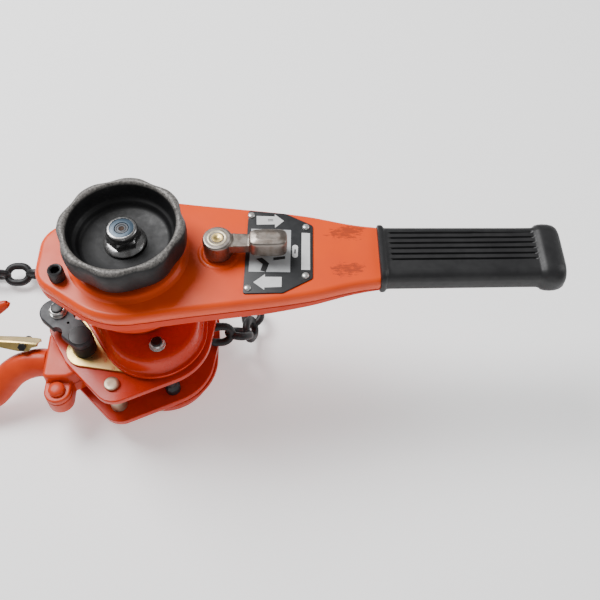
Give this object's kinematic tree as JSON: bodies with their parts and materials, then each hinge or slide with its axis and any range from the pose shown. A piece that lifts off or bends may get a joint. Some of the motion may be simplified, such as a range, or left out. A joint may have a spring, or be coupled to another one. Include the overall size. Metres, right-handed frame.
{
  "type": "lever chain hoist",
  "caption": "Ratchet lever hoist with a swinging lever, free-chain handwheel, load brake, geared chain sheave, swivel hooks and load chain.",
  "frame": {"origin": "on the main shaft's axis at the gear cover's flat outer face, on which the hoist lies", "axes": "+Z along the main shaft towards the handwheel, +X along the lever towards its grip, +Y completes the right-handed frame"},
  "size_m": [0.7385, 0.2521, 0.1734],
  "materials": {
    "orange_paint": "glossy orange enamel",
    "black_finish": "black coated steel, worn to bare metal on edges",
    "steel": "machined",
    "yellow_zinc": "yellow zinc plated",
    "moulded_grip": "matt moulded rubber",
    "brass": "worn",
    "brown_steel": "browned casting, worn",
    "label_plate": "black printed aluminium",
    "chain_black": "black oxide, oiled",
    "friction_lining": "moulded friction lining"
  },
  "bodies": {
    "frame": {"side_plate_gear": "orange_paint", "side_plate_brake": "orange_paint", "stay_bolt_near": "steel", "stay_bolt_far": "steel", "guide_roller_near": "steel", "guide_roller_far": "steel", "chain_stripper": "steel", "sheave_bearing_gear": "steel", "sheave_bearing_brake": "steel", "hook_pin": "black_finish", "lock_bar": "black_finish", "lock_stud": "steel", "brake_plate": "yellow_zinc", "brake_cover": "orange_paint", "cover_stud_near": "steel", "cover_stud_far": "steel", "cover_stud_side": "steel", "gear_cover": "orange_paint", "gear_cover_screw_near": "steel", "gear_cover_screw_far": "steel", "gear_cover_screw_end": "steel", "chain_run": "chain_black", "chain_coil": "chain_black", "chain_end": "chain_black", "bottom_yoke": "orange_paint"},
    "sheave": {"load_sheave": "steel", "load_gear": "steel"},
    "intermediate_near": {"intermediate_gear_near": "steel"},
    "intermediate_far": {"intermediate_gear_far": "steel"},
    "drive": {"drive_shaft": "steel", "brake_hub": "steel", "friction_disc_inner": "friction_lining", "friction_disc_outer": "friction_lining", "changeover_gear": "steel", "handwheel": "black_finish", "shaft_nut": "steel"},
    "ratchet": {"ratchet_disc": "steel"},
    "pawl_near": {"holding_pawl_near": "steel"},
    "pawl_far": {"holding_pawl_far": "steel"},
    "lever": {"lever_upper_shell": "orange_paint", "lever_lower_shell": "orange_paint", "grip": "moulded_grip", "direction_plate": "label_plate", "plate_rivet_a": "steel", "plate_rivet_b": "steel", "plate_rivet_c": "steel", "plate_rivet_d": "steel", "cap_screw": "black_finish"},
    "selector": {"selector_lever": "brown_steel", "selector_pin": "brass", "changeover_pawl": "steel"},
    "top_yoke": {"top_yoke_lower": "orange_paint", "top_yoke_upper": "orange_paint", "yoke_bolt_near": "orange_paint", "yoke_bolt_far": "orange_paint"},
    "top_hook": {"top_hook": "orange_paint"},
    "top_latch": {"top_latch": "yellow_zinc"},
    "bottom_hook": {"bottom_hook": "orange_paint"},
    "bottom_latch": {"bottom_latch": "yellow_zinc"}
  },
  "joints": [
    {"name": "lever_swing", "type": "hinge", "parent": "frame", "child": "lever", "pos_m": [0, 0, 0.13], "axis": [0, 0, 1], "continuous": true},
    {"name": "selector_turn", "type": "hinge", "parent": "lever", "child": "selector", "pos_m": [0.0627, 0.001, 0.15], "axis": [0, 0, 1], "range_deg": [-22, 22]},
    {"name": "sheave_spin", "type": "hinge", "parent": "frame", "child": "sheave", "pos_m": [0, 0, 0.0415], "axis": [0, 0, 1], "continuous": true},
    {"name": "intermediate_near_spin", "type": "hinge", "parent": "frame", "child": "intermediate_near", "pos_m": [0, -0.024, 0.012], "axis": [0, 0, 1], "continuous": true},
    {"name": "intermediate_far_spin", "type": "hinge", "parent": "frame", "child": "intermediate_far", "pos_m": [0, 0.024, 0.012], "axis": [0, 0, 1], "continuous": true},
    {"name": "drive_spin", "type": "hinge", "parent": "frame", "child": "drive", "pos_m": [0, 0, 0.1], "axis": [0, 0, 1], "continuous": true},
    {"name": "ratchet_spin", "type": "hinge", "parent": "frame", "child": "ratchet", "pos_m": [0, 0, 0.0686], "axis": [0, 0, 1], "continuous": true},
    {"name": "pawl_near_lift", "type": "hinge", "parent": "frame", "child": "pawl_near", "pos_m": [0.032, -0.0185, 0.0686], "axis": [0, 0, 1], "range_deg": [0, 9], "stiffness_Nm_per_rad": 0.02},
    {"name": "pawl_far_lift", "type": "hinge", "parent": "frame", "child": "pawl_far", "pos_m": [-0.0127, 0.0315, 0.0686], "axis": [0, 0, 1], "range_deg": [0, 9], "stiffness_Nm_per_rad": 0.02},
    {"name": "top_yoke_pivot", "type": "hinge", "parent": "frame", "child": "top_yoke", "pos_m": [-0.0423, -0.0284, 0.0415], "axis": [0, 0, 1], "range_deg": [-24, 40]},
    {"name": "top_hook_swivel", "type": "hinge", "parent": "top_yoke", "child": "top_hook", "pos_m": [-0.0741, -0.0284, 0.0415], "axis": [-1, 0, 0], "continuous": true},
    {"name": "top_latch_open", "type": "hinge", "parent": "top_hook", "child": "top_latch", "pos_m": [-0.0911, -0.01844, 0.05337], "axis": [0, -0.766, 0.6428], "range_deg": [0, 32], "stiffness_Nm_per_rad": 0.02, "springref_deg": -17.19},
    {"name": "bottom_hook_swivel", "type": "hinge", "parent": "frame", "child": "bottom_hook", "pos_m": [-0.347, -0.0198, 0.0133], "axis": [0, -1, 0], "continuous": true},
    {"name": "bottom_latch_open", "type": "hinge", "parent": "bottom_hook", "child": "bottom_latch", "pos_m": [-0.3315, -0.0368, 0.0133], "axis": [0, 0, -1], "range_deg": [0, 32], "stiffness_Nm_per_rad": 0.02, "springref_deg": -17.19}
  ],
  "couplings": [
    {"joint": "drive_spin", "follows": "sheave_spin", "ratio": 9},
    {"joint": "intermediate_near_spin", "follows": "sheave_spin", "ratio": -3},
    {"joint": "intermediate_far_spin", "follows": "sheave_spin", "ratio": -3}
  ]
}
